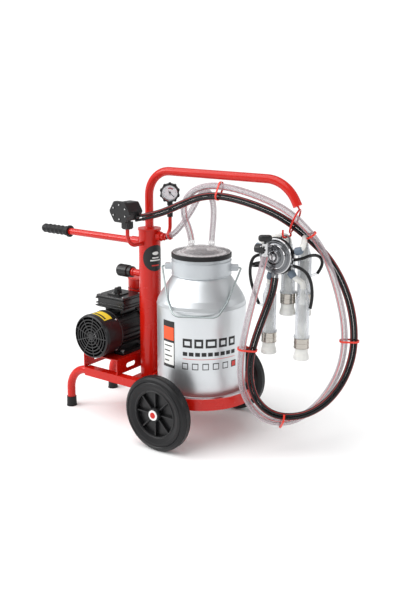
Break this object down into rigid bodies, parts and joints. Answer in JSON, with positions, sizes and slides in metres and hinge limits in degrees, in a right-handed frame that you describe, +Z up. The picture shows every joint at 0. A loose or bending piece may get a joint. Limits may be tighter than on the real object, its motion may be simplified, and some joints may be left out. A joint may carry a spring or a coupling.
{
  "type": "milking machine",
  "caption": "Wheeled bucket milking machine with a vacuum pump set on a tube frame, a milk can in a ring cradle and a milking cluster hanging with its hoses from an overhead arm.",
  "frame": {"origin": "on the floor, in the middle of the overall length and width without the free hoses", "axes": "+X points from the push handle to the end of the hanger arm, +Y points to the side of the vacuum gauge, +Z is up"},
  "size_m": [1.2753, 0.5034, 0.8975],
  "materials": {
    "red_paint": "gloss",
    "black_rubber": "matt",
    "tyre_rubber": "matt",
    "black_plastic": "matt",
    "black_paint": "gloss",
    "can_aluminium": "brushed",
    "cast_aluminium": "satin cast",
    "steel": "satin",
    "steel_wire": "zinc plated",
    "band_steel": "brushed",
    "chrome": "polished",
    "copper_core": "plain",
    "clear_plastic": "clear",
    "smoky_plastic": "clear",
    "dial_white": "printed",
    "hose_clear": "clear",
    "hose_black": "satin",
    "silicone": "satin",
    "tie_red": "satin",
    "white_metal": "satin"
  },
  "bodies": {
    "frame": {"axle": "red_paint", "axle_washers": "white_metal", "can_collar": "cast_aluminium", "can_cradle": "red_paint", "claw_body": "smoky_plastic", "claw_cover": "cast_aluminium", "claw_outlet": "chrome", "column": "red_paint", "fan_cowl": "black_paint", "gauge_case": "black_rubber", "gauge_dial": "dial_white", "gauge_lens": "clear_plastic", "gauge_pipe": "red_paint", "handle_grip": "black_rubber", "handle_tube": "red_paint", "hanger_arm": "red_paint", "hose_hook": "red_paint", "hose_ties": "tie_red", "milk_can": "can_aluminium", "milk_hose": "hose_clear", "motor_bolts": "steel", "motor_bracket": "red_paint", "motor_housing": "black_paint", "motor_stator": "copper_core", "pulsator_body": "black_plastic", "pulsator_cover": "black_plastic", "pulsator_pipe": "red_paint", "pulsator_screws": "chrome", "pulse_hose_inner": "hose_black", "pulse_hose_outer": "hose_black", "pump_body": "black_paint", "rail_left": "red_paint", "rail_right": "red_paint", "regulator_body": "red_paint", "rubber_feet": "black_rubber", "short_pulse_hoses": "hose_black", "silencer": "red_paint", "suction_pipe": "red_paint", "teat_cup_bands": "band_steel", "teat_cup_shells": "clear_plastic", "teat_liners": "silicone", "terminal_box": "black_paint", "vacuum_hose": "hose_clear", "vacuum_outlet": "red_paint"},
    "wheel_left": {"tyre_left": "tyre_rubber", "rim_left": "black_plastic"},
    "wheel_right": {"tyre_right": "tyre_rubber", "rim_right": "black_plastic"},
    "rotor": {"motor_rotor": "steel", "cooling_fan": "black_plastic", "pump_rotor": "steel"},
    "switch": {"switch_knob": "black_plastic"},
    "regulator_dial": {"regulator_cap": "black_plastic"},
    "needle": {"gauge_needle": "black_plastic"},
    "lid": {"can_lid": "smoky_plastic", "lid_gasket": "black_rubber"},
    "bail": {"can_bail": "steel_wire"},
    "button": {"claw_button": "black_plastic"},
    "star_knob": {"claw_knob": "black_plastic"},
    "shuttle": {"pulsator_shuttle": "steel"}
  },
  "joints": [
    {"name": "wheel_left_turn", "type": "hinge", "parent": "frame", "child": "wheel_left", "pos_m": [0.155, -0.2245, 0.125], "axis": [0, 1, 0], "continuous": true},
    {"name": "wheel_right_turn", "type": "hinge", "parent": "frame", "child": "wheel_right", "pos_m": [0.155, 0.2245, 0.125], "axis": [0, 1, 0], "continuous": true},
    {"name": "rotor_spin", "type": "hinge", "parent": "frame", "child": "rotor", "pos_m": [-0.191, 0, 0.304], "axis": [0, 1, 0], "continuous": true},
    {"name": "switch_turn", "type": "hinge", "parent": "frame", "child": "switch", "pos_m": [-0.19, -0.018, 0.44], "axis": [0, 0, 1], "range_deg": [0, 90]},
    {"name": "regulator_turn", "type": "hinge", "parent": "frame", "child": "regulator_dial", "pos_m": [-0.16, 0, 0.515], "axis": [1, 0, 0], "range_deg": [-180, 180]},
    {"name": "gauge_swing", "type": "hinge", "parent": "frame", "child": "needle", "pos_m": [-0.0545, 0.116, 0.792], "axis": [0.5878, -0.809, 0], "range_deg": [-60, 210]},
    {"name": "lid_lift", "type": "slide", "parent": "frame", "child": "lid", "axis": [0, 0, 1], "range_m": [0, 0.03], "deforming": ["milk_hose", "vacuum_hose"]},
    {"name": "bail_swing", "type": "hinge", "parent": "frame", "child": "bail", "pos_m": [0.168, 0, 0.573], "axis": [0.8788, 0.4772, 0], "range_deg": [-95, 0]},
    {"name": "button_press", "type": "slide", "parent": "frame", "child": "button", "axis": [0, 0, -1], "range_m": [0, 0.005]},
    {"name": "star_knob_turn", "type": "hinge", "parent": "frame", "child": "star_knob", "pos_m": [0.468, -0.105, 0.681], "axis": [0, 1, 0], "range_deg": [-90, 90]},
    {"name": "shuttle_slide", "type": "slide", "parent": "frame", "child": "shuttle", "axis": [0.9945, -0.1045, 0], "range_m": [-0.003, 0.003]}
  ]
}
